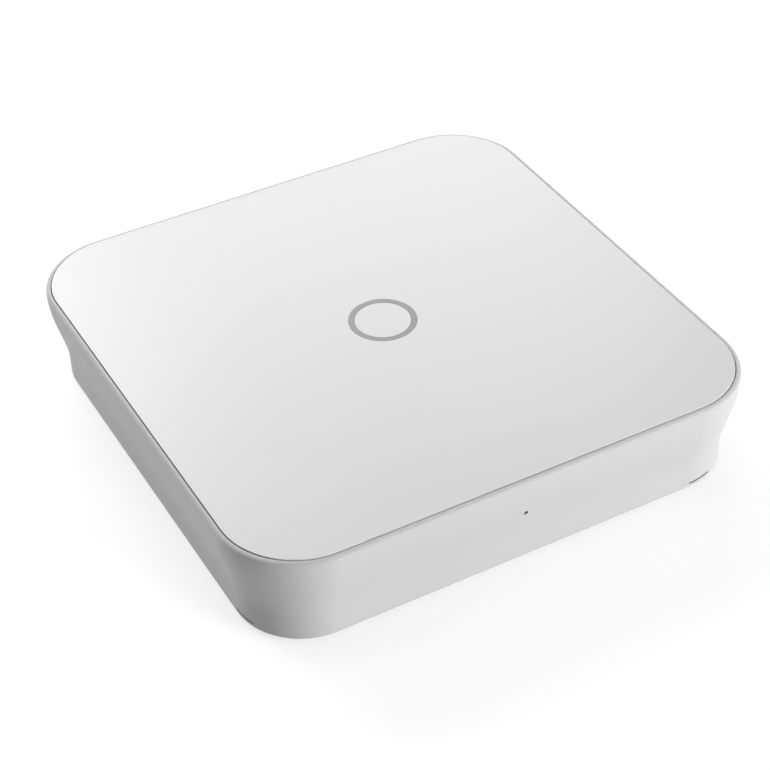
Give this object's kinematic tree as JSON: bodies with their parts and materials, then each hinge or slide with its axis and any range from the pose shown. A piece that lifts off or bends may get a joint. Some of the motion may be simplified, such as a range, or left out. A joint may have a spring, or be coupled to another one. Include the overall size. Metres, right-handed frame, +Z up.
{
  "type": "smart home hub",
  "caption": "Low square hub with round corners, flat top panel, status ring, concave side wall, reset pinhole and rear socket bay.",
  "frame": {"origin": "on the table, under the middle of the hub", "axes": "+Z up, -Y towards the front face with the reset pinhole, +Y towards the rear socket bay, +X to the right seen from the front"},
  "size_m": [0.15, 0.15, 0.0302],
  "materials": {
    "shell_white": "fine satin moulded",
    "panel_white": "satin",
    "ring_grey": "satin translucent",
    "cover_white": "spark-eroded texture",
    "foot_rubber": "matte",
    "label_white": "matte film",
    "tape_black": "foam tape",
    "board_green": "solder mask",
    "black_plastic": "moulded",
    "lamp_plastic": "clear yellowish",
    "pad_grey": "soft silicone",
    "ribbon_plastic": "flat cable film",
    "wire_black": "insulation",
    "cell_blue": "shrink film",
    "foam_grey": "foam",
    "ivory_plastic": "moulded nylon",
    "steel": "nickel plated",
    "aluminium": "satin",
    "gold": "plated"
  },
  "bodies": {
    "hub_body": {"housing": "shell_white", "top_panel": "panel_white", "panel_tape": "tape_black", "light_ring": "ring_grey", "ring_center": "panel_white", "led_board": "board_green", "led_1": "lamp_plastic", "led_2": "lamp_plastic", "led_3": "lamp_plastic", "led_4": "lamp_plastic", "led_5": "lamp_plastic", "led_6": "lamp_plastic", "led_screw_1": "steel", "led_screw_2": "steel", "led_cable": "ribbon_plastic", "bottom_cover": "cover_white", "rating_plate": "label_white", "foot_1": "foot_rubber", "foot_2": "foot_rubber", "foot_3": "foot_rubber", "foot_4": "foot_rubber", "case_screw_1": "steel", "case_screw_2": "steel", "case_screw_3": "steel", "case_screw_4": "steel", "main_board": "board_green", "board_screw_1": "steel", "board_screw_2": "steel", "board_screw_3": "steel", "board_screw_4": "steel", "processor": "black_plastic", "thermal_pad": "pad_grey", "heat_sink": "aluminium", "memory_chip": "black_plastic", "radio_module": "board_green", "radio_shield": "steel", "wifi_module": "board_green", "wifi_shield": "steel", "capacitor_1": "aluminium", "capacitor_2": "aluminium", "inductor": "black_plastic", "transformer": "black_plastic", "ethernet_jack": "steel", "usb_port": "steel", "power_jack": "black_plastic", "power_switch": "steel", "reset_board": "board_green", "reset_switch": "steel", "antenna_left": "gold", "antenna_right": "gold", "antenna_lead_left": "wire_black", "antenna_lead_right": "wire_black", "battery_pad": "foam_grey", "battery_pack": "cell_blue", "battery_socket": "ivory_plastic", "battery_lead": "wire_black", "sounder": "black_plastic"},
    "reset_button": {"reset_plunger": "black_plastic"},
    "power_slide": {"power_knob": "black_plastic"}
  },
  "joints": [
    {"name": "reset_press", "type": "slide", "parent": "hub_body", "child": "reset_button", "axis": [0, 1, 0], "range_m": [0, 0.00035], "stiffness_N_per_m": 3000},
    {"name": "power_slide_move", "type": "slide", "parent": "hub_body", "child": "power_slide", "axis": [1, 0, 0], "range_m": [0, 0.002]}
  ]
}
